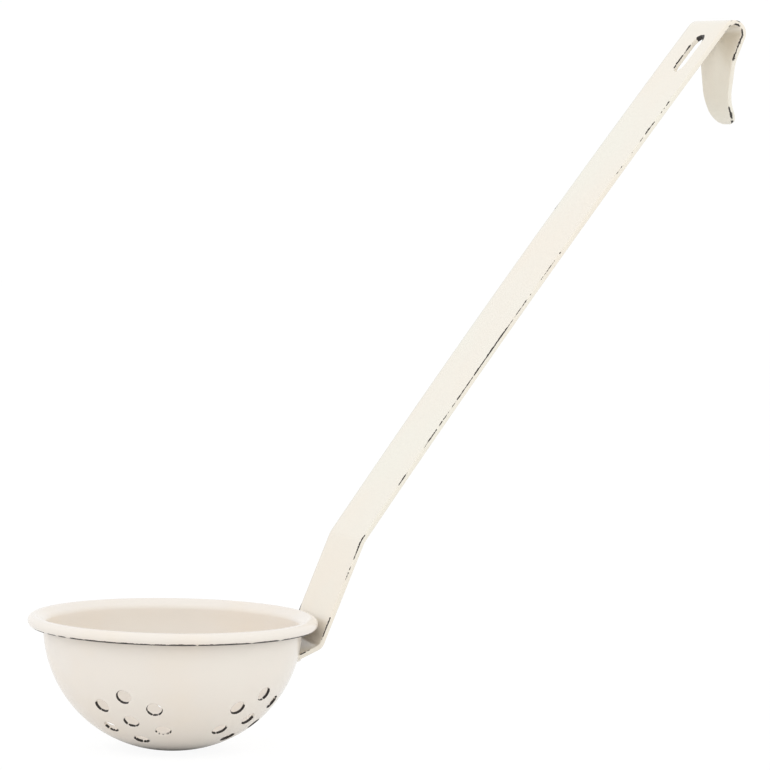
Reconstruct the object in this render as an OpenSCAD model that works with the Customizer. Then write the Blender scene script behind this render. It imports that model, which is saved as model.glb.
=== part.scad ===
// Straining ladle of enamelled sheet steel: a pressed round bowl with a rolled rim and drain
// holes, and one bent strip that is the handle and the hanging hook. Lengths are in millimetres
// and every thickness includes the enamel. The origin is the centre of the bowl's flat base,
// +Z is up along the bowl's axis and the handle leaves towards +X.

/* [Bowl] */
// Diameter over the rolled rim
rim_d = 92; // [88:0.5:110]
// Height of the rim roll's centre above the base
bowl_depth = 40.5; // [37:0.1:44]
// Inside radius of the soft bend round the flat base
base_bend_r = 6; // [2:0.5:12]
// Angle of the wall where it leaves that bend
base_lift = 7; // [4:0.5:20]
// Thickness of the bowl's sheet
sheet_t = 1.1; // [0.8:0.1:1.4]

/* [Rolled rim] */
// Diameter of the round roll
roll_d = 3.8; // [3.5:0.1:4.5]
// Distance that the roll stands out beyond the wall
rim_reach = 4.9; // [4.5:0.1:6]
// Angle at which the wall flares outward into the roll
flare_angle = 60; // [40:1:65]
// Inside radius of the bend between the wall and the flare
flare_r = 0.8; // [0.5:0.1:1]
// Angle below the roll's centre, on the wall's side, where the sheet's cut edge stops
roll_end = 60; // [55:1:80]

/* [Drain holes] */
// Angle between the handle and the middle of the two hole groups on each side
side_angle = 95; // [85:1:95]
// Angle between the two groups of a side
pair_angle = 76; // [60:1:90]
// Angle of a group's middle hole below the horizontal, seen from the wall's centre
group_tilt = 42.8; // [38:0.1:50]
// Number of holes in the ring around a group's middle hole
ring_count = 6; // [4:1:6]
// Distance from the middle hole to each hole of its ring, along the wall
hole_pitch = 10.4; // [8:0.1:11.5]
// Diameter of a drain hole
hole_d = 4.6; // [3:0.1:5.5]

/* [Handle strip] */
// Width of the strip
strip_w = 27.4; // [20:0.1:30]
// Thickness of the strip
strip_t = 1.6; // [1.2:0.1:2]
// Distance of the lower bend's corner from the bowl's wall
foot_reach = 4.1; // [4:0.1:12]
// Depth of the lower bend's corner below the rim roll's centre
foot_drop = 7.7; // [5:0.1:9]
// Upward slope of the foot, from the bowl's wall to the lower bend
foot_slope = 24; // [18:1:40]
// Inside radius of the lower bend
foot_bend_r = 2; // [1:0.1:3]
// Length of the lower stretch, between the two lower corners
lower_len = 36; // [28:0.5:50]
// Lean of the lower stretch above the horizontal
lower_lean = 67.8; // [64:0.1:80]
// Inside radius of the shallow bend between the two stretches
knee_r = 6; // [2:0.5:15]
// Straight-line length of the upper stretch, from the shallow bend to the hook
upper_len = 208.7; // [150:0.1:260]
// Lean of the upper stretch above the horizontal
upper_lean = 53.3; // [45:0.1:60]
// How far the middle of the upper stretch bows away from the straight line
upper_bow = 1.3; // [0.5:0.1:3]

/* [Hook] */
// Inside radius of the bend over the top
hook_r = 2.75; // [2:0.05:6]
// Angle between the hook's first stretch and straight down
hook_lean = 16; // [5:1:20]
// Length of the hook's first stretch
hook_upper = 6; // [2:0.5:10]
// Length of the hook's plumb stretch
hook_plumb = 6.5; // [3:0.5:15]
// Radius of the soft bend between the first and the plumb stretch
hook_soft_r = 18; // [10:1:30]
// Radius of the flare at the tip
tip_flare_r = 17; // [10:1:30]
// Angle by which the tip flares away from the handle
tip_flare = 42; // [20:1:50]
// Width of the hook's tapered tip
tip_w = 16.2; // [12:0.1:18]
// Radius of the tip's two rounded corners
tip_corner_r = 5.5; // [3:0.1:5.8]

/* [Slot] */
// Length of the hanging slot over its round ends
slot_len = 14.6; // [11:0.1:22]
// Width of the slot
slot_w = 6.6; // [5:0.1:9.5]
// Distance from the top bend to the slot's upper end
slot_gap = 4.9; // [3:0.1:20]
// Distance of the slot from the middle of the strip
slot_side = 1.8; // [0:0.1:4]

/* [Weld] */
// Radius of the weld bead between the strip's end and the bowl
weld_r = 1.8; // [1.3:0.1:2.2]
// Angle by which the bead runs on past each edge of the strip
weld_end = 3; // [2:0.5:5]

/* [Hidden] */
$fn = 96;

enamel = [0.94, 0.92, 0.87];
weld_enamel = [0.9, 0.87, 0.81];

wall_r = rim_d / 2 - rim_reach;

// Largest distance between a bend and its flat facets
facet_gap = 0.01;

// A pose is [across, up, heading]. A step of bent sheet is [length, turn], and both run along
// the sheet's middle. A turn to the left is positive.
function step_end(p, s) =
    s[1] == 0
        ? [p[0] + s[0] * cos(p[2]), p[1] + s[0] * sin(p[2]), p[2]]
        : let (r = s[0] / (s[1] * PI / 180))
          [p[0] + r * (sin(p[2] + s[1]) - sin(p[2])),
           p[1] - r * (cos(p[2] + s[1]) - cos(p[2])),
           p[2] + s[1]];

// Pose at the end of the first i steps.
function pose_after(p, steps, i) =
    i == 0 ? p : step_end(pose_after(p, steps, i - 1), steps[i - 1]);

// Number of facets that a step needs.
function facets(s) =
    s[1] == 0
        ? 1
        : let (r = abs(s[0] / (s[1] * PI / 180)))
          ceil(abs(s[1]) / (2 * acos(1 - facet_gap / r)));

// Poses along the whole sheet.
function poses(p, steps) = concat([p], [
    for (i = [0 : len(steps) - 1])
        let (from = pose_after(p, steps, i), n = facets(steps[i]))
        for (k = [1 : n]) step_end(from, steps[i] * k / n)]);

// A bend: its length along the middle of sheet of thickness t, and its turn.
function bend(inside_r, t, turn) = [(inside_r + t / 2) * abs(turn) * PI / 180, turn];

// The point at distance d to the left of a pose.
function beside(p, d) = [p[0] - d * sin(p[2]), p[1] + d * cos(p[2])];

// The cut face of bent sheet of thickness t.
module sheet_section(line, t) {
    polygon(concat([for (p = line) beside(p, t / 2)],
                   [for (i = [len(line) - 1 : -1 : 0]) beside(line[i], -t / 2)]));
}

// The roll is a ring of sheet, and the flare runs into it on a tangent.
roll_inside_r = roll_d / 2 - sheet_t;
roll_mid_r = roll_inside_r + sheet_t / 2;
roll_start = 180 - flare_angle;
roll_turn = roll_start + 180 - roll_end;
flare_mid_r = flare_r + sheet_t / 2;
wall_mid_r = wall_r - sheet_t / 2;
flare_side = rim_d / 2 - roll_d / 2 + roll_mid_r * cos(roll_start)
             - wall_mid_r - flare_mid_r * (1 - cos(flare_angle));
flare_len = flare_side / sin(flare_angle);
wall_top = bowl_depth + roll_mid_r * sin(roll_start)
           - flare_len * cos(flare_angle) - flare_mid_r * sin(flare_angle);

// The wall is one arc between the bend round the flat base and the upright at wall_top. The
// flat base takes what is left of the radius.
base_mid_r = base_bend_r + sheet_t / 2;
wall_rise = wall_top - sheet_t / 2;
wall_arc_r = base_mid_r + (wall_rise - base_mid_r) / cos(base_lift);
base_r = wall_mid_r - wall_arc_r + (wall_arc_r - base_mid_r) * sin(base_lift);
wall_centre = [wall_mid_r - wall_arc_r, wall_top];
outer_arc_r = wall_arc_r + sheet_t / 2;

base_start = [0, sheet_t / 2, 0];
wall_steps = [
    [base_r, 0],
    bend(base_bend_r, sheet_t, base_lift),
    [wall_arc_r * (90 - base_lift) * PI / 180, 90 - base_lift]];
rim_steps = [
    bend(flare_r, sheet_t, -flare_angle),
    [flare_len, 0],
    bend(roll_inside_r, sheet_t, -roll_turn)];

// The bowl's body without its hollow, up to the flare, for cutting what is fitted to the wall.
module bowl_core() {
    line = poses(base_start, wall_steps);
    rotate_extrude() polygon(concat([[0, wall_top]], [for (p = line) beside(p, -sheet_t / 2)]));
}

// One punched hole, square to the wall.
module drill() {
    punch = 3 * sheet_t;
    translate([0, 0, outer_arc_r - punch]) cylinder(d = hole_d, h = 2 * punch);
}

module drain_holes() {
    ring_tilt = hole_pitch / outer_arc_r * 180 / PI;
    for (side = [-1, 1], end = [-1, 1])
        rotate([0, 0, side * (side_angle + end * pair_angle / 2)])
            translate([wall_centre[0], 0, wall_centre[1]])
                rotate([0, 90 + group_tilt, 0]) {
                    drill();
                    for (k = [0 : ring_count - 1])
                        rotate([0, 0, k * 360 / ring_count]) rotate([0, ring_tilt, 0]) drill();
                }
}

module bowl() {
    color(enamel) difference() {
        rotate_extrude() sheet_section(poses(base_start, concat(wall_steps, rim_steps)), sheet_t);
        drain_holes();
    }
}

// How far a bend in the strip starts before its corner.
function tangent(inside_r, turn) = (inside_r + strip_t / 2) * tan(abs(turn) / 2);

// The strip runs from inside the bowl's wall, round the two lower bends, up the bowed upper
// stretch, over the top and down the hook.
bow_r = (upper_len * upper_len / 4 + upper_bow * upper_bow) / (2 * upper_bow);
bow_half = asin(upper_len / 2 / bow_r);
foot_turn = lower_lean - foot_slope;
knee_turn = upper_lean + bow_half - lower_lean;
top_turn = -(upper_lean - bow_half + 90 + hook_lean);
foot_run = (foot_reach + strip_w / 4) / cos(foot_slope);
foot_corner = [wall_r + foot_reach, bowl_depth - foot_drop];
strip_start = [foot_corner[0] - foot_run * cos(foot_slope),
               foot_corner[1] - foot_run * sin(foot_slope), foot_slope];
strip_steps = [
    [foot_run - tangent(foot_bend_r, foot_turn), 0],
    bend(foot_bend_r, strip_t, foot_turn),
    [lower_len - tangent(foot_bend_r, foot_turn) - tangent(knee_r, knee_turn), 0],
    bend(knee_r, strip_t, knee_turn),
    [bow_r * 2 * bow_half * PI / 180 - tangent(knee_r, knee_turn), -2 * bow_half],
    bend(hook_r, strip_t, top_turn),
    [hook_upper, 0],
    [hook_soft_r * hook_lean * PI / 180, hook_lean],
    [hook_plumb, 0],
    [tip_flare_r * tip_flare * PI / 180, tip_flare]];
top_step = 5;
top_pose = pose_after(strip_start, strip_steps, top_step);
hook_pose = pose_after(strip_start, strip_steps, top_step + 1);
tip_pose = pose_after(strip_start, strip_steps, len(strip_steps));

// Puts a shape drawn in X and Y into the plane of the handle, centred on it.
module upright(width) {
    rotate([90, 0, 0]) linear_extrude(height = width, center = true) children();
}

// What is kept of the hook, seen from the handle: it tapers to a tip with two round corners.
function corner(side, from, to) = [
    for (a = [from : (to - from) / 9 : to])
        [side * (tip_w / 2 - tip_corner_r) + tip_corner_r * cos(a),
         tip_pose[1] + tip_corner_r + tip_corner_r * sin(a)]];

// Its straight sides run on a little above the place where they reach the strip's full width.
module hook_outline() {
    taper_len = hook_pose[1] - tip_pose[1] - tip_corner_r;
    rise = strip_t;
    top_side = strip_w / 2 + rise * (strip_w - tip_w) / 2 / taper_len;
    top_z = hook_pose[1] + rise;
    polygon(concat([[top_side, top_z], [-top_side, top_z]],
                   corner(-1, 180, 270), corner(1, 270, 360)));
}

module hook_trim() {
    depth = tip_pose[0] - hook_pose[0] + 4 * strip_w;
    translate([top_pose[0] + hook_r, 0, 0]) difference() {
        translate([0, -strip_w, tip_pose[1] - strip_w])
            cube([depth, 2 * strip_w, hook_pose[1] - tip_pose[1] + strip_w]);
        translate([-strip_t, 0, 0]) rotate([90, 0, 90])
            linear_extrude(height = depth + 2 * strip_t) hook_outline();
    }
}

// The slot, cut square to the strip.
module slot_cut() {
    across = 4 * strip_t;
    end_run = slot_len - slot_w;
    translate([top_pose[0], 0, top_pose[1]]) rotate([0, -top_pose[2], 0])
        translate([-slot_gap - slot_len / 2, -slot_side, -across / 2]) {
            for (s = [-1, 1]) translate([s * end_run / 2, 0, 0]) cylinder(d = slot_w, h = across);
            translate([-end_run / 2, -slot_w / 2, 0]) cube([end_run, slot_w, across]);
        }
}

module strip_body() {
    upright(strip_w) sheet_section(poses(strip_start, strip_steps), strip_t);
}

module handle() {
    color(enamel) difference() {
        strip_body();
        bowl_core();
        hook_trim();
        slot_cut();
    }
}

// The foot's middle plane cuts the wall in a near circle, and the weld bead follows it.
foot_back = (foot_corner[0] - wall_centre[0]) * cos(foot_slope)
            + (foot_corner[1] - wall_centre[1]) * sin(foot_slope);
foot_below = (foot_corner[0] - wall_centre[0]) * sin(foot_slope)
             - (foot_corner[1] - wall_centre[1]) * cos(foot_slope);
seam_r = sqrt(outer_arc_r * outer_arc_r - foot_below * foot_below);
seam_half = asin(strip_w / 2 / seam_r);

module weld_seam() {
    color(weld_enamel) difference() {
        translate([foot_corner[0], 0, foot_corner[1]]) rotate([0, -foot_slope, 0])
            translate([-foot_back, 0, 0]) rotate([0, 0, -seam_half - weld_end])
                rotate_extrude(angle = 2 * (seam_half + weld_end))
                    translate([seam_r, 0]) circle(r = weld_r, $fn = 12);
        bowl_core();
        strip_body();
    }
}

bowl();
handle();
weld_seam();
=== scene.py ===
import math

import bpy
import numpy as np
from mathutils import Matrix, Vector, geometry


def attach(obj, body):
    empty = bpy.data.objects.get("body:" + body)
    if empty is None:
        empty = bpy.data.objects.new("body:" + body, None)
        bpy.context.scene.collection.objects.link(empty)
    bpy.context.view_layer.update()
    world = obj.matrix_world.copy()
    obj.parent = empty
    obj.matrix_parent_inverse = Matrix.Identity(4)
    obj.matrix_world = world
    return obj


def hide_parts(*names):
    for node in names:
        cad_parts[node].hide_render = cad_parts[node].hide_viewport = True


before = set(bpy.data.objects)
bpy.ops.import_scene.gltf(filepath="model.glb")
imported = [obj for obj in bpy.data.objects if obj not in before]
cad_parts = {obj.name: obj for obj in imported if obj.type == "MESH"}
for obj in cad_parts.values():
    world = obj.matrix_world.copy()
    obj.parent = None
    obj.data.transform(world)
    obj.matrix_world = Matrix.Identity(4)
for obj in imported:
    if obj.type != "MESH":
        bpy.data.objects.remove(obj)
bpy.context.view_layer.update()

# The sizes of the part.
rim_d = 92.0
bowl_depth = 40.5
base_bend_r = 6.0
base_lift = 7.0
sheet_t = 1.1
roll_d = 3.8
rim_reach = 4.9
flare_angle = 60.0
flare_r = 0.8
roll_end = 60.0
side_angle = 95.0
pair_angle = 76.0
group_tilt = 42.8
ring_count = 6
hole_pitch = 10.4
hole_d = 4.6
strip_w = 27.4
strip_t = 1.6
foot_reach = 4.1
foot_drop = 7.7
foot_slope = 24.0
foot_bend_r = 2.0
lower_len = 36.0
lower_lean = 67.8
knee_r = 6.0
upper_len = 208.7
upper_lean = 53.3
upper_bow = 1.3
hook_r = 2.75
hook_lean = 16.0
hook_upper = 6.0
hook_plumb = 6.5
hook_soft_r = 18.0
tip_flare_r = 17.0
tip_flare = 42.0
tip_w = 16.2
tip_corner_r = 5.5
slot_len = 14.6
slot_w = 6.6
slot_gap = 4.9
slot_side = 1.8
weld_r = 1.8
weld_end = 3.0

around = 256
hole_round = 40


def sind(a):
    return np.sin(np.radians(a))


def cosd(a):
    return np.cos(np.radians(a))


# Bent sheet, seen from the side. A pose is (across, up, heading) and a step is (length, turn),
# both along the middle of the sheet.
def step_end(pose, length, turn):
    x, z, heading = pose
    if turn == 0:
        return (x + length * cosd(heading), z + length * sind(heading), heading)
    r = length / math.radians(turn)
    return (
        x + r * (sind(heading + turn) - sind(heading)),
        z - r * (cosd(heading + turn) - cosd(heading)),
        heading + turn,
    )


def bend(inside_r, t, turn):
    return ((inside_r + t / 2) * math.radians(abs(turn)), turn)


class Line:
    """The middle line of a bent sheet."""

    def __init__(self, start, steps):
        self.steps = steps
        self.starts = [start]
        self.runs = [0.0]
        for length, turn in steps:
            self.starts.append(step_end(self.starts[-1], length, turn))
            self.runs.append(self.runs[-1] + length)
        self.length = self.runs[-1]

    def pose(self, run):
        i = min(int(np.searchsorted(self.runs, run, side="right")) - 1, len(self.steps) - 1)
        i = max(i, 0)
        length, turn = self.steps[i]
        part = (run - self.runs[i]) / length
        return step_end(self.starts[i], length * part, turn * part)

    def poses(self, runs):
        return np.array([self.pose(r) for r in runs])


def beside(poses, d):
    """Points at distance d to the left of each pose, as across and up."""
    return poses[:, 0] - d * sind(poses[:, 2]), poses[:, 1] + d * cosd(poses[:, 2])


# The bowl's section.
roll_inside_r = roll_d / 2 - sheet_t
roll_mid_r = roll_inside_r + sheet_t / 2
roll_start = 180 - flare_angle
roll_turn = roll_start + 180 - roll_end
flare_mid_r = flare_r + sheet_t / 2
wall_r = rim_d / 2 - rim_reach
wall_mid_r = wall_r - sheet_t / 2
flare_side = (
    rim_d / 2 - roll_d / 2 + roll_mid_r * cosd(roll_start) - wall_mid_r - flare_mid_r * (1 - cosd(flare_angle))
)
flare_len = flare_side / sind(flare_angle)
wall_top = bowl_depth + roll_mid_r * sind(roll_start) - flare_len * cosd(flare_angle) - flare_mid_r * sind(flare_angle)
base_mid_r = base_bend_r + sheet_t / 2
wall_rise = wall_top - sheet_t / 2
wall_arc_r = base_mid_r + (wall_rise - base_mid_r) / cosd(base_lift)
base_r = wall_mid_r - wall_arc_r + (wall_arc_r - base_mid_r) * sind(base_lift)
wall_centre = (wall_mid_r - wall_arc_r, wall_top)
bowl_line = Line(
    (0.0, sheet_t / 2, 0.0),
    [
        (base_r, 0.0),
        bend(base_bend_r, sheet_t, base_lift),
        (wall_arc_r * math.radians(90 - base_lift), 90 - base_lift),
        bend(flare_r, sheet_t, -flare_angle),
        (flare_len, 0.0),
        bend(roll_inside_r, sheet_t, -roll_turn),
    ],
)
OUTER, INNER = -sheet_t / 2, sheet_t / 2

# The strip's section.
foot_turn = lower_lean - foot_slope
bow_r = (upper_len**2 / 4 + upper_bow**2) / (2 * upper_bow)
bow_half = math.degrees(math.asin(upper_len / 2 / bow_r))
knee_turn = upper_lean + bow_half - lower_lean
top_turn = -(upper_lean - bow_half + 90 + hook_lean)


def tangent(inside_r, turn):
    return (inside_r + strip_t / 2) * math.tan(math.radians(abs(turn) / 2))


foot_run = (foot_reach + strip_w / 4) / cosd(foot_slope)
foot_corner = (wall_r + foot_reach, bowl_depth - foot_drop)
strip_line = Line(
    (foot_corner[0] - foot_run * cosd(foot_slope), foot_corner[1] - foot_run * sind(foot_slope), foot_slope),
    [
        (foot_run - tangent(foot_bend_r, foot_turn), 0.0),
        bend(foot_bend_r, strip_t, foot_turn),
        (lower_len - tangent(foot_bend_r, foot_turn) - tangent(knee_r, knee_turn), 0.0),
        bend(knee_r, strip_t, knee_turn),
        (bow_r * 2 * math.radians(bow_half) - tangent(knee_r, knee_turn), -2 * bow_half),
        bend(hook_r, strip_t, top_turn),
        (hook_upper, 0.0),
        (hook_soft_r * math.radians(hook_lean), hook_lean),
        (hook_plumb, 0.0),
        (tip_flare_r * math.radians(tip_flare), tip_flare),
    ],
)
TOP_STEP, HOOK_STEP = 5, 6


class Mesh:
    """Points in millimetres, faces, and a few numbers kept at each point for the materials."""

    def __init__(self):
        self.points = []
        self.faces = []
        self.values = {"bare": [], "painted_edge_shade": []}
        self.count = 0

    def add(self, points, bare=0.0, painted_edge_shade=0.0):
        points = np.asarray(points, float).reshape(-1, 3)
        n = len(points)
        self.points.append(points)
        for key, value in (("bare", bare), ("painted_edge_shade", painted_edge_shade)):
            self.values[key].append(np.broadcast_to(np.asarray(value, float), (n,)))
        self.count += n
        return np.arange(self.count - n, self.count)

    def bridge(self, a, b, closed=True):
        """Quads between two rows of points."""
        n = len(a)
        for i in range(n if closed else n - 1):
            j = (i + 1) % n
            self.faces.append((int(a[i]), int(a[j]), int(b[j]), int(b[i])))

    def build(self, name):
        points = np.concatenate(self.points) * 0.001
        data = bpy.data.meshes.new(name)
        data.from_pydata([tuple(p) for p in points], [], self.faces)
        for key, rows in self.values.items():
            layer = data.attributes.new(key, "FLOAT", "POINT")
            layer.data.foreach_set("value", np.concatenate(rows).astype(np.float32))
        data.shade_smooth()
        data.update()
        piece = bpy.data.objects.new(name, data)
        bpy.context.scene.collection.objects.link(piece)
        return piece


def triangles(flat, edges):
    """Triangles over flat points that keep the given edges."""
    made = geometry.delaunay_2d_cdt([Vector(p) for p in flat], edges, [], 0, 1e-7)
    origin = [o[0] if o else -1 for o in made[3]]
    faces = [[origin[i] for i in f] for f in made[2]]
    return [f for f in faces if min(f) >= 0]


def ring_edges(ids):
    return [(int(ids[i]), int(ids[(i + 1) % len(ids)])) for i in range(len(ids))]


def levels(at, spans, soft=0.4):
    """How bare an edge is at each place: spans are (start, end, level)."""
    at = np.asarray(at, float)
    out = np.zeros_like(at)
    for start, end, level in spans:
        rise = np.clip((at - start) / soft + 0.5, 0, 1)
        fall = np.clip((end - at) / soft + 0.5, 0, 1)
        out = np.maximum(out, level * np.minimum(rise, fall))
    return out


# The bowl: a fine net of triangles where the holes are, and rows of quads above it.
def around_axis(poses, side, turn):
    x, z = beside(poses, side)
    return np.stack([x * np.cos(turn), x * np.sin(turn), z], axis=1)


def hole_axes():
    """Foot and direction of each hole's axis."""
    pitch = math.degrees(hole_pitch / (wall_arc_r + sheet_t / 2))
    found = []
    for side in (-1, 1):
        for end in (-1, 1):
            turn = Matrix.Rotation(math.radians(side * (side_angle + end * pair_angle / 2)), 3, "Z")
            lean = turn @ Matrix.Rotation(math.radians(90 + group_tilt), 3, "Y")
            foot = turn @ Vector((wall_centre[0], 0, wall_centre[1]))
            found.append((foot, lean @ Vector((0, 0, 1))))
            for k in range(ring_count):
                spin = Matrix.Rotation(math.radians(k * 360 / ring_count), 3, "Z")
                tilt = Matrix.Rotation(math.radians(pitch), 3, "Y")
                found.append((foot, lean @ spin @ tilt @ Vector((0, 0, 1))))
    return [(np.array(f), np.array(d)) for f, d in found]


def off_wall(points, r):
    across = np.hypot(points[:, 0], points[:, 1]) - wall_centre[0]
    return np.hypot(across, points[:, 2] - wall_centre[1]) - r


def hole_ring(foot, axis, q, r, count=hole_round):
    """A ring at distance q from a hole's axis, on the wall's face of radius r."""
    down = np.array([0.0, 0.0, -1.0])
    across = np.cross(axis, down)
    across /= np.linalg.norm(across)
    other = np.cross(axis, across)
    a = np.arange(count) * 2 * np.pi / count
    start = foot + q * (np.outer(np.cos(a), across) + np.outer(np.sin(a), other))
    run = np.full(count, r)
    for _ in range(6):
        run = run - off_wall(start + run[:, None] * axis, r)
    return start + run[:, None] * axis


def to_flat(points):
    """Place of wall points in the flat net: distance from the pole along the sheet, and turn."""
    across = np.hypot(points[:, 0], points[:, 1])
    lean = np.degrees(np.arctan2(across - wall_centre[0], wall_centre[1] - points[:, 2]))
    run = bowl_line.runs[2] + wall_arc_r * np.radians(lean - base_lift)
    turn = np.arctan2(points[:, 1], points[:, 0])
    return np.stack([run * np.cos(turn), run * np.sin(turn)], axis=1)


def make_bowl():
    mesh = Mesh()
    net_top = bowl_line.runs[2] + wall_arc_r * math.radians(70 - base_lift)
    spacing = 1.5
    turns = np.arange(around) * 2 * np.pi / around
    lip = 0.42
    outer_r, inner_r = wall_arc_r + sheet_t / 2, wall_arc_r - sheet_t / 2
    holes = hole_axes()
    rows = np.linspace(0, net_top, int(net_top / spacing) + 1)
    runs, spins = [0.0], [0.0]
    for k, run in enumerate(rows[1:-1]):
        x, _ = beside(bowl_line.poses([run]), 0.0)
        n = max(6, int(round(2 * np.pi * x[0] / spacing)))
        runs += [run] * n
        spins += list((np.arange(n) + 0.5 * (k % 2)) * 2 * np.pi / n)
    runs, spins = np.array(runs), np.array(spins)
    middle = around_axis(bowl_line.poses(runs), 0.0, spins)
    keep = np.ones(len(runs), bool)
    for foot, axis in holes:
        v = middle - foot
        q = np.linalg.norm(v - np.outer(v @ axis, axis), axis=1)
        keep &= (q > hole_d / 2 + lip + 1.5) | (v @ axis < 0)
    runs, spins = runs[keep], spins[keep]
    edge_runs, edge_spins = np.full(around, net_top), turns
    all_runs = np.concatenate([runs, edge_runs])
    all_spins = np.concatenate([spins, edge_spins])
    flat = [np.stack([all_runs * np.cos(all_spins), all_runs * np.sin(all_spins)], axis=1)]
    rims = np.arange(len(runs), len(all_runs))
    edges = ring_edges(rims)
    loops, count = [], len(all_runs)
    for foot, axis in holes:
        first = None
        for extra in (0.0, 0.45, 1.05):
            ring = hole_ring(foot, axis, hole_d / 2 + lip + extra, wall_arc_r)
            flat.append(to_flat(ring))
            ids = np.arange(count, count + hole_round)
            count += hole_round
            if first is None:
                first = ids
                edges += ring_edges(ids)
        loops.append(first)
    flat = np.concatenate(flat)
    owner = np.full(count, -1)
    for k, ids in enumerate(loops):
        owner[ids] = k
    faces = []
    for f in triangles(flat, edges):
        own = owner[f]
        if own[0] >= 0 and own[0] == own[1] == own[2]:
            continue
        faces.append(f)
    sides = {}
    for side, r in ((OUTER, outer_r), (INNER, inner_r)):
        points = [around_axis(bowl_line.poses(all_runs), side, all_spins)]
        for foot, axis in holes:
            for extra in (0.0, 0.45, 1.05):
                points.append(hole_ring(foot, axis, hole_d / 2 + lip + extra, r))
        ids = mesh.add(np.concatenate(points))
        sides[side] = ids
        for f in faces:
            g = [int(ids[i]) for i in f]
            mesh.faces.append(tuple(g if side == INNER else g[::-1]))
    # The lip of each hole turns from the outer face to the inner one.
    hole_turn = np.arange(hole_round) * 360 / hole_round
    for k, (foot, axis) in enumerate(holes):
        arcs = hole_arcs[k] if k < len(hole_arcs) else unseen_arcs(k)
        hole_bare = np.maximum(levels(hole_turn, arcs, 14.0), levels(hole_turn + 360, arcs, 14.0))
        last = sides[OUTER][loops[k]]
        for psi in (67.5, 45, 22.5, 0, -22.5, -45, -67.5):
            q = hole_d / 2 + lip * (1 - cosd(psi))
            share = (1 + sind(psi)) / 2
            ring = share * hole_ring(foot, axis, q, outer_r) + (1 - share) * hole_ring(foot, axis, q, inner_r)
            bare = hole_bare * np.clip(1.35 - abs(psi - 25) / 58, 0, 1)
            ids = mesh.add(ring, bare=bare)
            mesh.bridge(last, ids)
            last = ids
        mesh.bridge(last, sides[INNER][loops[k]])
    # Above the net the section goes up, round the rim's roll, and back down inside.
    stops = [net_top]
    for i in range(2, len(bowl_line.steps)):
        length, turn = bowl_line.steps[i]
        begin = max(bowl_line.runs[i], net_top)
        end = bowl_line.runs[i + 1]
        n = max(int((end - begin) / 1.4) + 1, int(abs(turn) / 8) + 1 if i > 2 else 1)
        stops += list(np.linspace(begin, end, n + 1)[1:])
    stops = np.array(stops)
    poses = bowl_line.poses(stops)
    roll_from = bowl_line.runs[5]
    degrees_round = np.degrees(turns)
    chips = levels((degrees_round + 360) % 360, rim_chips, 2.0)
    last = sides[OUTER][rims]
    for i in range(1, len(stops)):
        ids = mesh.add(around_axis(np.repeat(poses[i : i + 1], around, axis=0), OUTER, turns))
        mesh.bridge(last, ids)
        last = ids
    end = poses[-1]
    for psi in (-67.5, -45, -22.5, 0, 22.5, 45, 67.5):
        cut = np.array([[end[0] + sheet_t / 2 * cosd(psi) * cosd(end[2]), end[1] + sheet_t / 2 * cosd(psi) * sind(end[2]), end[2]]])
        cut[0, 0] -= sheet_t / 2 * cosd(end[2])
        cut[0, 1] -= sheet_t / 2 * sind(end[2])
        ids = mesh.add(around_axis(np.repeat(cut, around, axis=0), sheet_t / 2 * sind(psi), turns), bare=0.6)
        mesh.bridge(last, ids)
        last = ids
    for i in range(len(stops) - 1, 0, -1):
        bare = roll_bare(stops[i], roll_from, chips)
        ids = mesh.add(around_axis(np.repeat(poses[i : i + 1], around, axis=0), INNER, turns), bare=bare)
        mesh.bridge(last, ids)
        last = ids
    mesh.bridge(last, sides[INNER][rims])
    return mesh.build("bowl_enamelled")


# Bare steel on the lip of each hole on the side that the photograph shows: (from, to, level) in
# degrees round the hole, from its right side upward. The middle hole of a group comes first.
hole_arcs = [
    [(190, 215, 0.95), (215, 370, 1.05)],
    [(205, 335, 1.15), (335, 392, 1.0)],
    [(215, 265, 0.9), (265, 335, 1.1), (335, 400, 1.0)],
    [(205, 275, 1.0), (275, 310, 0.8), (310, 375, 0.95), (375, 420, 0.6)],
    [(215, 260, 1.0), (260, 300, 0.85), (300, 410, 1.15)],
    [(100, 180, 0.7), (180, 385, 1.15)],
    [(178, 270, 1.1), (270, 385, 0.95)],
    [(150, 225, 1.0), (225, 290, 0.72), (290, 362, 1.0)],
    [(165, 200, 0.95), (200, 260, 1.1), (260, 290, 0.9), (290, 350, 1.15)],
    [(185, 215, 0.85), (215, 325, 0.46), (325, 375, 1.0)],
    [(135, 200, 1.0), (200, 250, 0.85), (250, 300, 0.65), (300, 375, 1.0)],
    [(95, 150, 0.85), (150, 225, 1.1), (225, 265, 0.85), (265, 300, 1.05)],
    [(150, 230, 1.15), (230, 265, 0.9), (265, 308, 1.05)],
    [(170, 215, 1.0), (215, 275, 0.75), (275, 330, 1.2)],
]


def unseen_arcs(k):
    """The same for a hole on the far side, at random places on its lower half."""
    rng = np.random.default_rng(40 + k)
    first = rng.uniform(160, 215)
    return [
        (first, first + rng.uniform(30, 80), rng.uniform(0.6, 1.0)),
        (first + 90, first + rng.uniform(110, 170), rng.uniform(0.5, 1.0)),
    ]


# Bare steel along the underside of the roll: (from, to, level) in degrees round the bowl.
rim_chips = [
    (176, 189, 0.71),
    (190, 198, 0.62),
    (199, 204, 0.94),
    (206, 213, 0.82),
    (214, 221, 1.1),
    (221, 237, 0.84),
    (237, 249, 0.75),
    (249, 260, 1.1),
    (261, 267, 0.9),
    (267, 272, 1.1),
    (272, 283, 0.94),
    (284, 298, 1.1),
    (299.5, 311, 1.1),
    (311, 330, 0.97),
    (336, 352, 0.68),
    (20, 60, 0.74),
    (90, 150, 0.68),
]


def roll_bare(run, roll_from, chips):
    if run < roll_from:
        return 0.0
    turned = math.degrees((run - roll_from) / roll_mid_r)
    place = roll_start - turned
    return chips * np.clip((-39 - place) / 8, 0, 1) * np.clip((place + 108) / 12, 0, 1)


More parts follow.
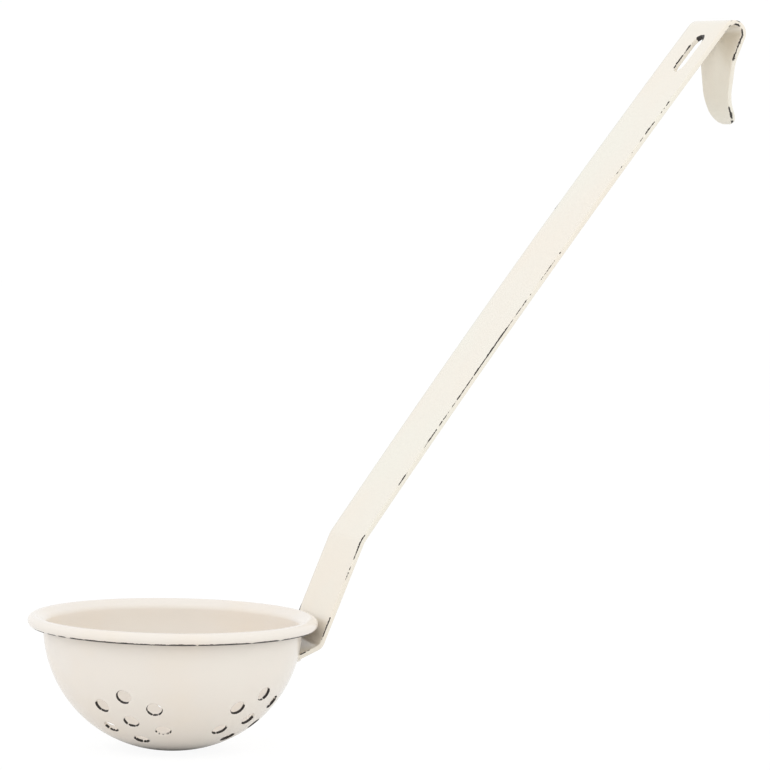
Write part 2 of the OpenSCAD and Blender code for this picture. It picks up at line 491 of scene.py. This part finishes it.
# The handle: one strip, cut round its outline and its slot.
def half_width(run):
    """Half of the strip's width at each place along it."""
    run = np.atleast_1d(run)
    hook_z = strip_line.starts[HOOK_STEP][1]
    tip_z = strip_line.starts[-1][1]
    z = strip_line.poses(run)[:, 1]
    taper_z = tip_z + tip_corner_r
    side = strip_w / 2 + (tip_w / 2 - strip_w / 2) * (hook_z - z) / (hook_z - taper_z)
    low = np.clip(taper_z - z, 0, tip_corner_r)
    corner = tip_w / 2 - tip_corner_r + np.sqrt(np.maximum(tip_corner_r**2 - low**2, 0))
    width = np.where(z > taper_z, side, corner)
    return np.where(run < strip_line.runs[HOOK_STEP], strip_w / 2, width)


def foot_end(y):
    """Where the strip's middle meets the middle of the bowl's sheet, at each place across it."""
    run = np.zeros_like(y)
    poses = strip_line.poses([0.0])
    step = np.array([cosd(foot_slope), sind(foot_slope)])
    for _ in range(20):
        x = poses[0, 0] + run * step[0]
        z = poses[0, 1] + run * step[1]
        points = np.stack([x, y, z], axis=1)
        run = run - off_wall(points, wall_arc_r)
    return run


def place_strip(flat, h):
    """Puts flat strip points, along and across, on the bent strip at height h over its middle."""
    poses = strip_line.poses(flat[:, 0])
    x, z = beside(poses, h)
    return np.stack([x, flat[:, 1], z], axis=1)


def normals_of(loop):
    """Outward normals of a closed flat loop that runs anticlockwise."""
    ahead = np.roll(loop, -1, axis=0) - np.roll(loop, 1, axis=0)
    ahead /= np.linalg.norm(ahead, axis=1)[:, None]
    return np.stack([ahead[:, 1], -ahead[:, 0]], axis=1)


def inside(points, loop):
    """Which points lie inside a closed flat loop."""
    found = np.zeros(len(points), bool)
    x, y = points[:, 0], points[:, 1]
    for (x1, y1), (x2, y2) in zip(loop, np.roll(loop, -1, axis=0)):
        if y1 == y2:
            continue
        cross = ((y1 > y) != (y2 > y)) & (x < (x2 - x1) * (y - y1) / (y2 - y1) + x1)
        found ^= cross
    return found


near_line = [
    (4.6, 6.6, 1.0),
    (6.6, 8.4, 0.65),
    (13.8, 14.8, 0.74),
    (14.8, 21.6, 0.97),
    (34.0, 37.4, 0.68),
    (37.6, 39.4, 0.81),
    (41.4, 42.7, 0.94),
    (42.7, 43.5, 0.74),
    (43.5, 50.4, 0.97),
    (69.5, 73.6, 0.94),
    (73.6, 75.0, 0.65),
    (83.6, 86.6, 0.68),
    (86.8, 91.5, 0.84),
    (92.5, 94.7, 0.94),
    (94.7, 99.6, 0.68),
    (99.6, 101.6, 0.78),
    (101.6, 102.6, 0.68),
    (102.6, 112.2, 0.87),
    (112.2, 131.6, 0.94),
    (131.6, 134.6, 0.76),
    (134.6, 139.5, 0.68),
    (139.6, 141.4, 0.9),
    (141.4, 143.4, 0.67),
    (144.5, 145.6, 0.84),
    (150.0, 158.6, 0.68),
    (158.6, 159.4, 0.78),
    (161.4, 162.6, 0.84),
    (194.0, 197.6, 0.63),
    (202.6, 203.6, 0.9),
    (207.0, 209.8, 0.76),
    (210.5, 213.6, 0.9),
    (213.6, 216.4, 0.74),
    (219.5, 220.5, 0.87),
    (220.5, 222.5, 0.68),
    (222.5, 224.6, 0.9),
    (258.4, 259.2, 0.68),
    (260.2, 261.6, 0.74),
]
near_band = [
    (254.0, 255.6, 0.5),
    (256.8, 258.6, 0.6),
    (259.2, 262.4, 0.75),
    (263.4, 270.4, 0.95),
    (270.4, 271.6, 0.75),
    (271.6, 274.6, 0.95),
    (289.2, 290.2, 0.8),
    (290.2, 293.8, 1.0),
    (293.8, 294.6, 0.8),
    (294.6, 295.7, 1.2),
]
far_line = [(19.8, 22.6, 1.0), (96.0, 99.0, 0.4), (178.0, 181.0, 0.5)]


def make_handle():
    mesh = Mesh()
    edge_r = 0.42
    profile = []
    half_t = strip_t / 2
    for psi in (90, 72, 54, 36, 18, 0):
        profile.append((edge_r * cosd(psi), half_t - edge_r + edge_r * sind(psi)))
    profile += [(e, -h) for e, h in reversed(profile)]
    # Places along the strip that get a row of points, close together in the bends.
    stops, tight = [], []
    for i, (length, turn) in enumerate(strip_line.steps):
        sharp = turn != 0 and abs(length / math.radians(turn)) < 8
        n = int(math.ceil(length / (0.42 if sharp else 0.6)))
        for k in range(n):
            stops.append(strip_line.runs[i] + length * k / n)
            tight.append(sharp)
    stops.append(strip_line.length)
    tight.append(False)
    stops, tight = np.array(stops), np.array(tight)
    cut_half = foot_end(np.array([strip_w / 2]))[0]
    chosen = stops > cut_half + 0.3
    stops, tight = stops[chosen], tight[chosen]
    halves = half_width(stops)
    across = np.linspace(-strip_w / 2, strip_w / 2, 31)[1:-1]
    foot = np.stack([foot_end(across), across], axis=1)
    bottom = halves[-1]
    tip = np.linspace(-bottom, bottom, 9)[1:-1]
    corner_low = np.array([[cut_half, -strip_w / 2]])
    corner_high = np.array([[cut_half, strip_w / 2]])
    lower = np.stack([stops, -halves], axis=1)
    upper = np.stack([stops, halves], axis=1)
    loop = np.concatenate(
        [corner_low, lower, np.stack([np.full(7, stops[-1]), tip], axis=1), upper[::-1], corner_high, foot[::-1]]
    )
    normals = normals_of(loop)
    # The slot, as a loop the other way round, so that its normals point into the hole.
    top = strip_line.runs[TOP_STEP]
    slot_at = top - slot_gap - slot_len / 2
    run = slot_len / 2 - slot_w / 2
    turn = np.linspace(-90, 90, 25)
    high_end = np.stack([slot_at + run + slot_w / 2 * cosd(turn), -slot_side + slot_w / 2 * sind(turn)], axis=1)
    low_end = np.stack([slot_at - run - slot_w / 2 * cosd(turn), -slot_side - slot_w / 2 * sind(turn)], axis=1)
    sides_n = 12
    span = np.linspace(run, -run, sides_n + 1)[1:-1]
    far = np.stack([slot_at + span, np.full(len(span), -slot_side + slot_w / 2)], axis=1)
    near = np.stack([slot_at - span, np.full(len(span), -slot_side - slot_w / 2)], axis=1)
    slot = np.concatenate([high_end, far, low_end, near])
    slot_out = normals_of(slot)
    inset = loop - edge_r * normals
    slot_inset = slot + edge_r * slot_out
    # Points over the strip's face.
    spacing = 2.2
    inner_points, rows = [], []
    rows_at = []
    for k in range(len(stops)):
        if not tight[k] and k % 3:
            continue
        half = halves[k] - edge_r - 0.9
        if half < 1 or stops[k] > strip_line.length - 1.0:
            continue
        if stops[k] < cut_half + 3.0:
            continue
        n = max(2, int(round(2 * half / spacing)) + 1)
        y = np.linspace(-half, half, n)
        rows_at.append(k)
        rows.append(np.stack([np.full(n, stops[k]), y], axis=1))
    count = len(inset) + len(slot_inset)
    flat = [inset, slot_inset]
    edges = ring_edges(np.arange(len(inset)))
    edges += ring_edges(np.arange(len(inset), count))
    slot_far = slot + 1.6 * slot_out
    for grow in (0.45, 1.0):
        flat.append(slot_inset + grow * slot_out)
        count += len(slot)
    lower_first = 1
    upper_last = 1 + len(lower) + 7 + len(upper) - 1
    for k, row in zip(rows_at, rows):
        near_slot = abs(row[0, 0] - slot_at) < slot_len / 2 + 3
        if near_slot:
            row = row[~inside(row, slot_far)]
        ids = list(range(count, count + len(row)))
        count += len(row)
        flat.append(row)
        if not near_slot:
            chain = [lower_first + k] + ids + [upper_last - k]
            edges += [(chain[j], chain[j + 1]) for j in range(len(chain) - 1)]
    flat = np.concatenate(flat)
    found = np.array(triangles(flat, edges))
    centres = flat[found].mean(axis=1)
    found = found[inside(centres, inset) & ~inside(centres, slot_inset)]
    sides = {}
    for h in (half_t, -half_t):
        bare = np.zeros(len(flat))
        bare[: len(inset)] = edge_bare(inset + edge_r * normals, 1.0 if h > 0 else -1.0)
        grown = slot_bare(slot, slot_at, 0.8 if h > 0 else -0.8)
        spot = np.clip((slot[:, 0] - slot_at - slot_len / 2 + slot_w / 2 - 0.9) / 0.8, 0, 1)
        spot = spot * np.clip((2.6 - slot[:, 1] - slot_side) / 0.6, 0, 1)
        at = len(inset)
        bare[at : at + len(slot)] = np.maximum(0.95 * spot, 0.5 * grown) if h > 0 else 0.4 * spot
        if h > 0:
            bare[at + len(slot) : at + 2 * len(slot)] = 0.75 * spot * np.clip(-slot[:, 1] - slot_side, 0, 1)
        painted_edge_shade = np.zeros(len(flat))
        # Painted shade along the strip's far edge, on its upper face.
        painted_edge_shade[: len(inset)] = (inset[:, 1] > 0) * (h > 0)
        ids = mesh.add(place_strip(flat, h), bare=bare, painted_edge_shade=painted_edge_shade)
        sides[h] = ids
        for f in found:
            g = [int(ids[i]) for i in f]
            a, b, c = flat[f[0]], flat[f[1]], flat[f[2]]
            left = (b[0] - a[0]) * (c[1] - a[1]) - (b[1] - a[1]) * (c[0] - a[0]) > 0
            mesh.faces.append(tuple(g if left == (h > 0) else g[::-1]))
    # Rounded edges, with the bare places along their upper corner and painted shade on the upper half of the far edge.
    for ring, out, first, closed_in in ((inset, normals, 0, False), (slot_inset, -slot_out, len(inset), True)):
        ids_top = sides[half_t][first : first + len(ring)]
        ids_low = sides[-half_t][first : first + len(ring)]
        last = ids_top
        for j, (e, h) in enumerate(profile[1:-1]):
            p = ring + e * out
            if closed_in:
                bare, painted_edge_shade = slot_bare(p, slot_at, h / half_t), 0.0
            else:
                bare, painted_edge_shade = edge_bare(p, h / half_t), (p[:, 1] > 0) * max(h / half_t, 0)
            ids = mesh.add(place_strip(p, h), bare=bare, painted_edge_shade=painted_edge_shade)
            if closed_in:
                mesh.bridge(last, ids)
            else:
                mesh.bridge(ids, last)
            last = ids
        if closed_in:
            mesh.bridge(last, ids_low)
        else:
            mesh.bridge(ids_low, last)
    return mesh.build("handle_enamelled")


def edge_bare(p, h):
    """How bare the strip's cut edge is; h goes from 1 at the upper face to -1 at the lower."""
    near = p[:, 1] < 0
    upper = np.clip(1 - abs(h - 0.80) / 0.35, 0, 1)
    lower = np.clip(1 - abs(h + 0.73) / 0.54, 0, 1)
    line = levels(p[:, 0], near_line) * upper
    band = levels(p[:, 0], near_band) * lower
    far = levels(p[:, 0], far_line) * np.clip(1.4 - abs(h - 0.95) / 0.35, 0, 1)
    return np.where(near, np.maximum(line, band), far)


def slot_bare(p, slot_at, h):
    """The same for the slot's wall: a spot at its upper end and a line on its far side."""
    end = slot_at + slot_len / 2 - slot_w / 2
    high = np.clip((p[:, 0] - end - 0.9) / 0.8, 0, 1) * np.clip((2.6 - p[:, 1] - slot_side) / 0.6, 0, 1)
    far = np.clip((p[:, 1] + slot_side - 0.6) / 1.2, 0, 1) * levels(p[:, 0], slot_line)
    upper = np.clip(1 - abs(h - 0.75) / 0.42, 0, 1)
    return np.maximum(high, far * upper)


slot_line = [
    (238.2, 240.0, 0.85),
    (240.0, 244.4, 1.0),
    (244.4, 245.8, 0.8),
    (245.8, 248.4, 0.95),
    (248.4, 249.4, 0.6),
]


# The weld between the strip's end and the wall: a fillet over and under the strip.
def make_weld():
    mesh = Mesh()
    fillet = 1.35
    half = math.degrees(math.asin(strip_w / 2 / 28.0)) + weld_end
    count = 61
    y = 28.0 * sind(np.linspace(-half, half, count))
    poses = strip_line.poses([0.0])
    run = foot_end(y)
    centre = np.stack([poses[0, 0] + run * cosd(foot_slope), y, poses[0, 1] + run * sind(foot_slope)], axis=1)
    turn = np.arctan2(centre[:, 1], centre[:, 0])
    hub = np.stack([wall_centre[0] * np.cos(turn), wall_centre[0] * np.sin(turn), np.full(count, wall_centre[1])], axis=1)
    out = centre - hub
    out /= np.linalg.norm(out, axis=1)[:, None]
    centre = centre + out * (sheet_t / 2)
    along = np.gradient(centre, axis=0)
    along /= np.linalg.norm(along, axis=1)[:, None]
    up = np.cross(along, out)
    up *= np.sign(up[:, 2])[:, None]
    rng = np.random.default_rng(7)
    lumps = 1 + 0.10 * np.interp(np.arange(count), np.arange(0, count + 6, 3), rng.uniform(-1, 1, len(np.arange(0, count + 6, 3))))
    edge = np.abs(np.linspace(-1, 1, count))
    fade = np.sqrt(np.clip((1 - edge) / 0.30, 0.03, 1))
    last = None
    first = None
    shape = []
    core = strip_t / 2 * 0.6
    for u in np.linspace(1, 0, 8):
        shape.append((-(core + u * fillet), fillet * (1 - math.sqrt(1 - (1 - u) ** 2))))
    shape += [(-b, n) for b, n in reversed(shape)]
    rows = []
    for b, n in [(shape[0][0], -0.35)] + shape + [(shape[-1][0], -0.35)]:
        size = (lumps * fade)[:, None]
        lift = n if n > 0 else n
        rows.append(mesh.add(centre + up * b * size + out * (lift * size if lift > 0 else lift)))
    rows = np.array(rows)
    for i in range(len(rows) - 1):
        mesh.bridge(rows[i], rows[i + 1], closed=False)
    mesh.bridge(rows[-1], rows[0], closed=False)
    mesh.faces.append(tuple(int(i) for i in rows[:, 0]))
    mesh.faces.append(tuple(int(i) for i in rows[::-1, -1]))
    return mesh.build("weld_fillet")


# Materials.
def nodes_of(name):
    made = bpy.data.materials.new(name)
    made.use_nodes = True
    tree = made.node_tree
    tree.nodes.clear()
    return made, tree


def node(tree, kind, **inputs):
    made = tree.nodes.new(kind)
    for key, value in inputs.items():
        if key in made.inputs:
            made.inputs[key].default_value = value
        else:
            setattr(made, key, value)
    return made


def linear(r, g, b):
    """A colour written as it looks on screen, from 0 to 255."""
    def one(v):
        v /= 255
        return v / 12.92 if v <= 0.04045 else ((v + 0.055) / 1.055) ** 2.4

    return (one(r), one(g), one(b), 1.0)


def enamel(name, main, warm, cool, edge_gain=1.0):
    """Glossy vitreous enamel over black steel, which shows where the enamel is missing."""
    made, tree = nodes_of(name)
    link = tree.links.new
    place = node(tree, "ShaderNodeTexCoord")
    tones = node(tree, "ShaderNodeTexNoise", Scale=28.0, Detail=3.0, Roughness=0.55)
    link(place.outputs["Object"], tones.inputs["Vector"])
    tone_ramp = node(tree, "ShaderNodeValToRGB")
    tone_ramp.color_ramp.elements[0].position = 0.34
    tone_ramp.color_ramp.elements[0].color = warm
    tone_ramp.color_ramp.elements[1].position = 0.66
    tone_ramp.color_ramp.elements[1].color = cool
    middle = tone_ramp.color_ramp.elements.new(0.5)
    middle.color = main
    link(tones.outputs["Fac"], tone_ramp.inputs["Fac"])
    # Fine specks that vitreous enamel has.
    specks = node(tree, "ShaderNodeTexVoronoi", Scale=900.0)
    link(place.outputs["Object"], specks.inputs["Vector"])
    speck_mask = node(tree, "ShaderNodeMapRange")
    speck_mask.inputs["From Min"].default_value = 0.05
    speck_mask.inputs["From Max"].default_value = 0.12
    speck_mask.inputs["To Min"].default_value = 0.10
    speck_mask.inputs["To Max"].default_value = 0.0
    link(specks.outputs["Distance"], speck_mask.inputs["Value"])
    speckled = node(tree, "ShaderNodeMix", data_type="RGBA")
    link(speck_mask.outputs["Result"], speckled.inputs[0])
    link(tone_ramp.outputs["Color"], speckled.inputs[6])
    speckled.inputs[7].default_value = linear(168, 150, 128)
    # Painted shade: the colour is greyer along the strip's far edge, where it rounds away.
    painted_edge_shade = node(tree, "ShaderNodeAttribute", attribute_name="painted_edge_shade")
    edge_shaded = node(tree, "ShaderNodeMix", data_type="RGBA", blend_type="MULTIPLY")
    link(painted_edge_shade.outputs["Fac"], edge_shaded.inputs[0])
    link(speckled.outputs[2], edge_shaded.inputs[6])
    edge_shaded.inputs[7].default_value = (0.86, 0.88, 0.905, 1.0)
    # Where the enamel is missing.
    bare = node(tree, "ShaderNodeAttribute", attribute_name="bare")
    ragged = node(tree, "ShaderNodeTexNoise", Scale=420.0, Detail=2.0, Roughness=0.6)
    link(place.outputs["Object"], ragged.inputs["Vector"])
    frayed = node(tree, "ShaderNodeTexNoise", Scale=1900.0, Detail=3.0, Roughness=0.6)
    link(place.outputs["Object"], frayed.inputs["Vector"])
    coarse = node(tree, "ShaderNodeMath", operation="MULTIPLY_ADD")
    coarse.inputs[1].default_value = 0.9
    coarse.inputs[2].default_value = -0.9
    link(ragged.outputs["Fac"], coarse.inputs[0])
    shift = node(tree, "ShaderNodeMath", operation="MULTIPLY_ADD")
    shift.inputs[1].default_value = 0.9
    link(frayed.outputs["Fac"], shift.inputs[0])
    link(coarse.outputs[0], shift.inputs[2])
    near_mark = node(tree, "ShaderNodeMapRange")
    near_mark.inputs["From Max"].default_value = 0.3
    link(bare.outputs["Fac"], near_mark.inputs["Value"])
    held = node(tree, "ShaderNodeMath", operation="MULTIPLY")
    link(shift.outputs[0], held.inputs[0])
    link(near_mark.outputs["Result"], held.inputs[1])
    total = node(tree, "ShaderNodeMath", operation="ADD")
    link(bare.outputs["Fac"], total.inputs[0])
    link(held.outputs[0], total.inputs[1])
    mask = node(tree, "ShaderNodeMapRange")
    mask.inputs["From Min"].default_value = 0.40
    mask.inputs["From Max"].default_value = 0.56
    link(total.outputs[0], mask.inputs["Value"])
    steel = node(tree, "ShaderNodeTexNoise", Scale=700.0, Detail=2.0)
    link(place.outputs["Object"], steel.inputs["Vector"])
    steel_ramp = node(tree, "ShaderNodeValToRGB")
    steel_ramp.color_ramp.elements[0].color = linear(16, 13, 12)
    steel_ramp.color_ramp.elements[1].color = linear(52, 44, 38)
    link(steel.outputs["Fac"], steel_ramp.inputs["Fac"])
    colour = node(tree, "ShaderNodeMix", data_type="RGBA")
    link(mask.outputs["Result"], colour.inputs[0])
    link(edge_shaded.outputs[2], colour.inputs[6])
    link(steel_ramp.outputs["Color"], colour.inputs[7])
    rough = node(tree, "ShaderNodeMapRange")
    rough.inputs["To Min"].default_value = 0.16
    rough.inputs["To Max"].default_value = 0.55
    link(mask.outputs["Result"], rough.inputs["Value"])
    # Slow waves of the fired glaze, and the step down to the bare steel.
    waves = node(tree, "ShaderNodeTexNoise", Scale=60.0, Detail=2.0, Roughness=0.4)
    link(place.outputs["Object"], waves.inputs["Vector"])
    wave_bump = node(tree, "ShaderNodeBump", Strength=0.12, Distance=0.0006)
    link(waves.outputs["Fac"], wave_bump.inputs["Height"])
    step_bump = node(tree, "ShaderNodeBump", Strength=0.5, Distance=0.0001, invert=True)
    link(mask.outputs["Result"], step_bump.inputs["Height"])
    link(wave_bump.outputs["Normal"], step_bump.inputs["Normal"])
    shader = node(tree, "ShaderNodeBsdfPrincipled")
    shader.inputs["IOR"].default_value = 1.5
    link(colour.outputs[2], shader.inputs["Base Color"])
    link(rough.outputs["Result"], shader.inputs["Roughness"])
    link(step_bump.outputs["Normal"], shader.inputs["Normal"])
    out = node(tree, "ShaderNodeOutputMaterial")
    link(shader.outputs["BSDF"], out.inputs["Surface"])
    return made


bowl_enamel = enamel("bowl_enamel", linear(238, 230, 220), linear(239, 229, 216), linear(238, 231, 221))
handle_enamel = enamel("handle_enamel", linear(238, 231, 217), linear(239, 230, 215), linear(237, 232, 218))
seam_enamel = enamel("seam_enamel", linear(237, 230, 220), linear(238, 229, 217), linear(236, 230, 220))

for maker, node_name, slot_name, finish in (
    (make_bowl, "bowl", "bowl_enamel", bowl_enamel),
    (make_handle, "handle", "handle_enamel", handle_enamel),
    (make_weld, "weld_seam", "seam_enamel", seam_enamel),
):
    piece = maker()
    piece.data.materials.append(finish)
    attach(piece, "root")
    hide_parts(node_name)

# Floor, backdrop and light.
scene = bpy.context.scene
scene.view_settings.view_transform = "Standard"


def paper(name, shown):
    """A white surface that the camera sees near white and that keeps a soft shadow, with a painted shadow darkening
    its colour round the bowl's foot.
    """
    made, tree = nodes_of(name)
    link = tree.links.new
    path = node(tree, "ShaderNodeLightPath")
    seen = node(tree, "ShaderNodeMath", operation="MAXIMUM")
    link(path.outputs["Is Camera Ray"], seen.inputs[0])
    place = node(tree, "ShaderNodeTexCoord")
    far_off = node(tree, "ShaderNodeVectorMath", operation="LENGTH")
    link(place.outputs["Object"], far_off.inputs[0])
    # Mirror rays see no glow close to the bowl's foot, so the bowl's underside reflects the painted shadow there.
    open_floor = node(tree, "ShaderNodeMapRange", interpolation_type="SMOOTHSTEP")
    open_floor.inputs["From Min"].default_value = 0.005
    open_floor.inputs["From Max"].default_value = 0.018
    open_floor.inputs["To Max"].default_value = 0.5
    link(far_off.outputs["Value"], open_floor.inputs["Value"])
    mirrored = node(tree, "ShaderNodeMath", operation="MULTIPLY")
    link(open_floor.outputs["Result"], mirrored.inputs[1])
    link(path.outputs["Is Glossy Ray"], mirrored.inputs[0])
    link(mirrored.outputs[0], seen.inputs[1])
    also = node(tree, "ShaderNodeMath", operation="MAXIMUM")
    link(seen.outputs[0], also.inputs[0])
    link(path.outputs["Is Transmission Ray"], also.inputs[1])
    share = node(tree, "ShaderNodeMath", operation="MULTIPLY")
    share.inputs[1].default_value = shown
    link(also.outputs[0], share.inputs[0])
    matt = node(tree, "ShaderNodeBsdfDiffuse")
    # Painted shadow: the paper's colour is dark under the bowl's foot and pale further out.
    shade = node(tree, "ShaderNodeMapRange", interpolation_type="SMOOTHSTEP")
    shade.inputs["From Min"].default_value = 0.005
    shade.inputs["From Max"].default_value = 0.026
    link(far_off.outputs["Value"], shade.inputs["Value"])
    painted_shadow_colour = node(tree, "ShaderNodeMix", data_type="RGBA")
    painted_shadow_colour.inputs[6].default_value = (0.20, 0.19, 0.18, 1.0)
    painted_shadow_colour.inputs[7].default_value = (0.86, 0.85, 0.83, 1.0)
    link(shade.outputs["Result"], painted_shadow_colour.inputs[0])
    link(painted_shadow_colour.outputs[2], matt.inputs["Color"])
    glow = node(tree, "ShaderNodeEmission", Color=(1.0, 1.0, 1.0, 1.0), Strength=1.04)
    mix = node(tree, "ShaderNodeMixShader")
    link(share.outputs[0], mix.inputs[0])
    link(matt.outputs[0], mix.inputs[1])
    link(glow.outputs[0], mix.inputs[2])
    out = node(tree, "ShaderNodeOutputMaterial")
    link(mix.outputs[0], out.inputs["Surface"])
    return made


def plane(name, size, location, finish):
    bpy.ops.mesh.primitive_plane_add(size=size, location=location)
    made = bpy.context.object
    made.name = name
    made.data.materials.append(finish)
    return made


floor = plane("floor", 6.0, (0, 0, -0.0002), paper("floor_paper", 0.9))

world = bpy.data.worlds.new("studio")
scene.world = world
world.use_nodes = True
tree = world.node_tree
tree.nodes.clear()
path = node(tree, "ShaderNodeLightPath")
# The room is white all round, warmer in front of the ladle and cooler above and behind it.
place = node(tree, "ShaderNodeTexCoord")
behind = node(tree, "ShaderNodeVectorMath", operation="DOT_PRODUCT")
behind.inputs[1].default_value = (0.082, 0.898, 0.432)
tree.links.new(place.outputs["Generated"], behind.inputs[0])
share = node(tree, "ShaderNodeMapRange")
share.inputs["From Min"].default_value = -0.6
share.inputs["From Max"].default_value = 0.9
tree.links.new(behind.outputs["Value"], share.inputs["Value"])
room = node(tree, "ShaderNodeMix", data_type="RGBA")
room.inputs[6].default_value = (0.99, 0.985, 0.96, 1.0)
room.inputs[7].default_value = (0.985, 1.0, 1.03, 1.0)
tree.links.new(share.outputs["Result"], room.inputs[0])
soft = node(tree, "ShaderNodeBackground", Strength=0.85)
tree.links.new(room.outputs[2], soft.inputs["Color"])
white = node(tree, "ShaderNodeBackground", Color=(1.0, 1.0, 1.0, 1.0), Strength=1.01)
seen = node(tree, "ShaderNodeMath", operation="MAXIMUM")
mix = node(tree, "ShaderNodeMixShader")
out = node(tree, "ShaderNodeOutputWorld")
tree.links.new(path.outputs["Is Camera Ray"], seen.inputs[0])
tree.links.new(path.outputs["Is Glossy Ray"], seen.inputs[1])
also = node(tree, "ShaderNodeMath", operation="MAXIMUM")
tree.links.new(seen.outputs[0], also.inputs[0])
tree.links.new(path.outputs["Is Transmission Ray"], also.inputs[1])
tree.links.new(also.outputs[0], mix.inputs[0])
tree.links.new(soft.outputs[0], mix.inputs[1])
tree.links.new(white.outputs[0], mix.inputs[2])
tree.links.new(mix.outputs[0], out.inputs["Surface"])


def lamp(name, location, target, size, power, colour):
    """A large soft lamp. Its mirror image is left off, so that no pale edge clips to white."""
    data = bpy.data.lights.new(name, "AREA")
    data.shape = "DISK"
    data.size = size
    data.energy = power
    data.color = colour
    made = bpy.data.objects.new(name, data)
    scene.collection.objects.link(made)
    made.visible_glossy = False
    made.location = location
    away = Vector(target) - Vector(location)
    made.rotation_mode = "QUATERNION"
    made.rotation_quaternion = away.to_track_quat("-Z", "Y")
    return made


lamp("front", (-0.97, -2.4, 0.25), (0.05, 0, 0.1), 2.4, 3.0, (0.99, 0.985, 0.965))
lamp("left", (-2.59, -0.2, 0.7), (0.05, 0, 0.1), 3.2, 17.0, (0.96, 0.99, 1.06))
lamp("right", (1.84, -1.84, 0.7), (0.05, 0, 0.1), 3.2, 18.0, (0.955, 1.0, 1.065))
lamp("top", (-0.5, -0.6, 2.3), (0.05, 0, 0.1), 3.2, 8.0, (0.93, 1.0, 1.14))

# Camera at the photograph's place.
camera_data = bpy.data.cameras.new("camera")
camera = bpy.data.objects.new("camera", camera_data)
scene.collection.objects.link(camera)
scene.camera = camera
right = Vector((0.92758, -0.37299, 0.02153))
ahead = Vector((0.37356, 0.92494, -0.07025))
up = Vector((0.00629, 0.0732, 0.99729))
turn = Matrix((right, up, -ahead)).transposed()
camera.matrix_world = Matrix.Translation((-0.417488, -1.208999, 0.207052)) @ turn.to_4x4()
camera_data.sensor_width = 36.0
camera_data.lens = 36.0 * 4050.288 / 770
camera_data.clip_start = 0.01
camera_data.clip_end = 50.0
